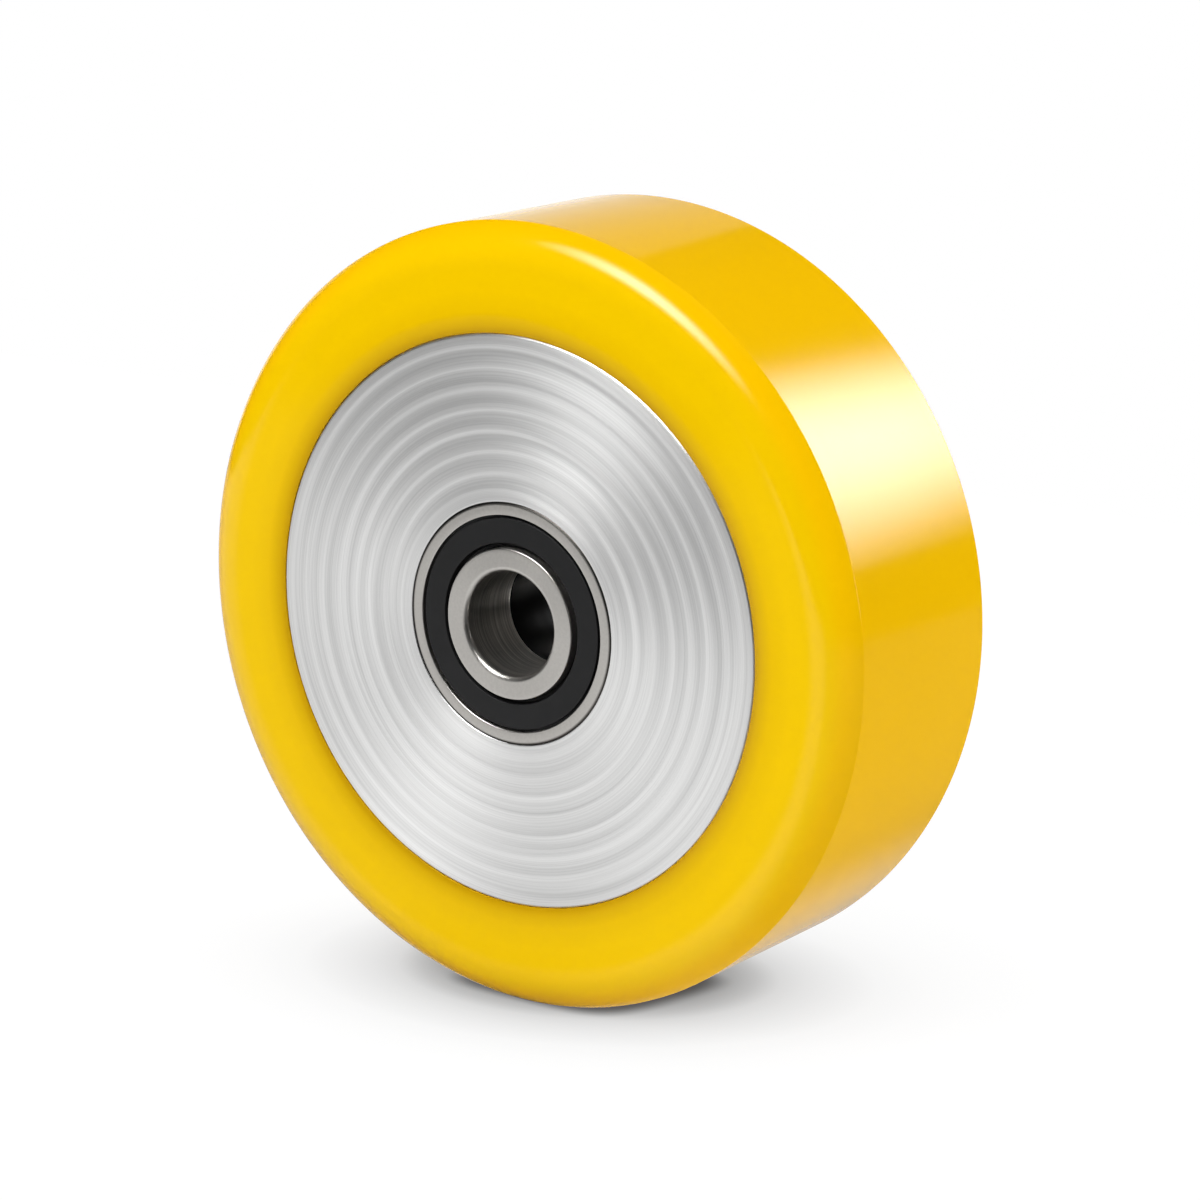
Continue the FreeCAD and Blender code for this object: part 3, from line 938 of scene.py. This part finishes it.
    def mirrored_board(self, tree, s, part, reach):
        """The board as glossy surfaces mirror it, its light and shade painted by place. It is dim
        on the right, and behind the wheel a little dimmer all over. The wheel's painted shade
        darkens it close by, most in front."""
        front_end, dim_from, bright_in_front, bright_behind = -0.02, 0.07, 0.035, 0.045
        dimmer_behind, shade_in_front, shade_behind = 0.4, 0.1, 0.85
        shade_from, shade_to = 0.3, 1.0
        behind = add_node(tree, "ShaderNodeMath", {
            0: part["Y"], 1: front_end,
        }, operation="GREATER_THAN").outputs[0]
        bright_to, most, least = (
            add_node(tree, "ShaderNodeMath", {
                0: behind, 1: at_back - in_front, 2: in_front,
            }, operation="MULTIPLY_ADD").outputs[0]
            for in_front, at_back in (
                (bright_in_front, bright_behind),
                (s.near_floor, (1 - dimmer_behind) * s.near_floor),
                (shade_in_front, shade_behind),
            )
        )
        level = add_node(tree, "ShaderNodeMapRange", {
            "Value": part["X"], "From Min": dim_from, "From Max": bright_to,
            "To Min": s.far_floor, "To Max": most,
        }, interpolation_type="SMOOTHSTEP")
        clear = add_node(tree, "ShaderNodeMapRange", {
            "Value": reach, "From Min": shade_from, "From Max": shade_to,
            "To Min": least, "To Max": 1.0,
        })
        mirrored = add_node(tree, "ShaderNodeMath", {
            0: level.outputs["Result"], 1: clear.outputs["Result"],
        }, operation="MULTIPLY")
        return add_node(tree, "ShaderNodeEmission", {"Strength": mirrored.outputs[0]}).outputs[0]

    def backdrop(self):
        """White backdrop at the rear left, which fades upwards where glossy surfaces mirror it."""
        left, right, away, foot, top = -2.4, -0.36, 0.9, -0.3, 0.75
        fade_from = -0.1
        material = bpy.data.materials.new("paper backdrop")
        tree = empty_tree(material)
        place = add_node(tree, "ShaderNodeTexCoord").outputs["Object"]
        height = add_node(tree, "ShaderNodeSeparateXYZ", {0: place}).outputs["Z"]
        share = add_node(tree, "ShaderNodeMapRange", {
            "Value": height, "From Min": fade_from, "From Max": top,
        })
        level = add_node(tree, "ShaderNodeValToRGB", {"Fac": share.outputs["Result"]})
        set_ramp(level, [(0.0, 1.1), (0.2, 1.0), (0.38, 0.75), (0.61, 0.48), (0.77, 0.32),
                         (1.0, 0.2)])
        faded = add_node(tree, "ShaderNodeEmission", {"Strength": level.outputs["Color"]})
        white = add_node(tree, "ShaderNodeEmission", {"Strength": 1.0})
        whole = seen_by(tree, "Is Camera Ray", faded.outputs[0], white.outputs[0])
        add_node(tree, "ShaderNodeOutputMaterial", {"Surface": whole})
        staged("backdrop", [
            (left, away, foot), (right, away, foot), (right, away, top), (left, away, top),
        ], material)

    def room(self, scene, s):
        """White for the camera, faint even light for the wheel, and a dark room in what its
        glossy surfaces mirror."""
        scene.world = bpy.data.worlds.new("studio room")
        tree = empty_tree(scene.world)
        even, dim, white = (
            add_node(tree, "ShaderNodeBackground", {
                "Color": (1, 1, 1, 1), "Strength": level,
            }).outputs[0]
            for level in (s.ambient, s.room_glow, 1.0)
        )
        by_others = seen_by(tree, "Is Glossy Ray", even, dim)
        whole = seen_by(tree, "Is Camera Ray", by_others, white)
        add_node(tree, "ShaderNodeOutputWorld", {"Surface": whole})

    def camera(self, scene, s):
        """Camera at the photograph's angle, distance and framing."""
        out, right, up = directions(s.azimuth, s.elevation)
        lens = bpy.data.cameras.new("camera")
        lens.lens = s.lens
        lens.sensor_width = 36.0
        lens.sensor_fit = "HORIZONTAL"
        camera = placed("camera", lens)
        camera.location = out * s.distance
        look = right * s.aim_right - up * s.aim_down - camera.location
        camera.rotation_euler = look.to_track_quat("-Z", "Y").to_euler()
        scene.camera = camera


class WHEEL_PT_build(bpy.types.Panel):
    """The wheel's sizes, colours and build steps"""

    bl_idname = "WHEEL_PT_build"
    bl_label = "Polyurethane wheel"
    bl_space_type = "VIEW_3D"
    bl_region_type = "UI"
    bl_category = "Wheel"

    def draw(self, context):
        for name, operators in STEPS:
            box = self.layout.box()
            for step in operators:
                box.operator(step.bl_idname)
            group = getattr(context.scene, name)
            for key in group.__annotations__:
                box.prop(group, key)


STEPS = (
    ("wheel_tyre", (WHEEL_OT_tyre,)),
    ("wheel_hub", (WHEEL_OT_hub,)),
    ("wheel_bearing", (WHEEL_OT_bearing_rings, WHEEL_OT_bearing_seals, WHEEL_OT_bearing_insides)),
    ("wheel_studio", (WHEEL_OT_studio,)),
)
GROUPS = {
    "wheel_tyre": TyreSettings,
    "wheel_hub": HubSettings,
    "wheel_bearing": BearingSettings,
    "wheel_studio": StudioSettings,
}


def register():
    for name, group in GROUPS.items():
        bpy.utils.register_class(group)
        setattr(bpy.types.Scene, name, PointerProperty(type=group))
    for _, operators in STEPS:
        for operator in operators:
            bpy.utils.register_class(operator)
    bpy.utils.register_class(WHEEL_PT_build)


def unregister():
    bpy.utils.unregister_class(WHEEL_PT_build)
    for _, operators in reversed(STEPS):
        for operator in reversed(operators):
            bpy.utils.unregister_class(operator)
    for name, group in reversed(GROUPS.items()):
        delattr(bpy.types.Scene, name)
        bpy.utils.unregister_class(group)


def main():
    """Registers the classes and builds every piece and the studio in order."""
    register()
    bpy.ops.wheel.tyre()
    bpy.ops.wheel.hub()
    bpy.ops.wheel.bearing_rings()
    bpy.ops.wheel.bearing_seals()
    bpy.ops.wheel.bearing_insides()
    bpy.ops.wheel.studio()


if __name__ == "__main__":
    main()
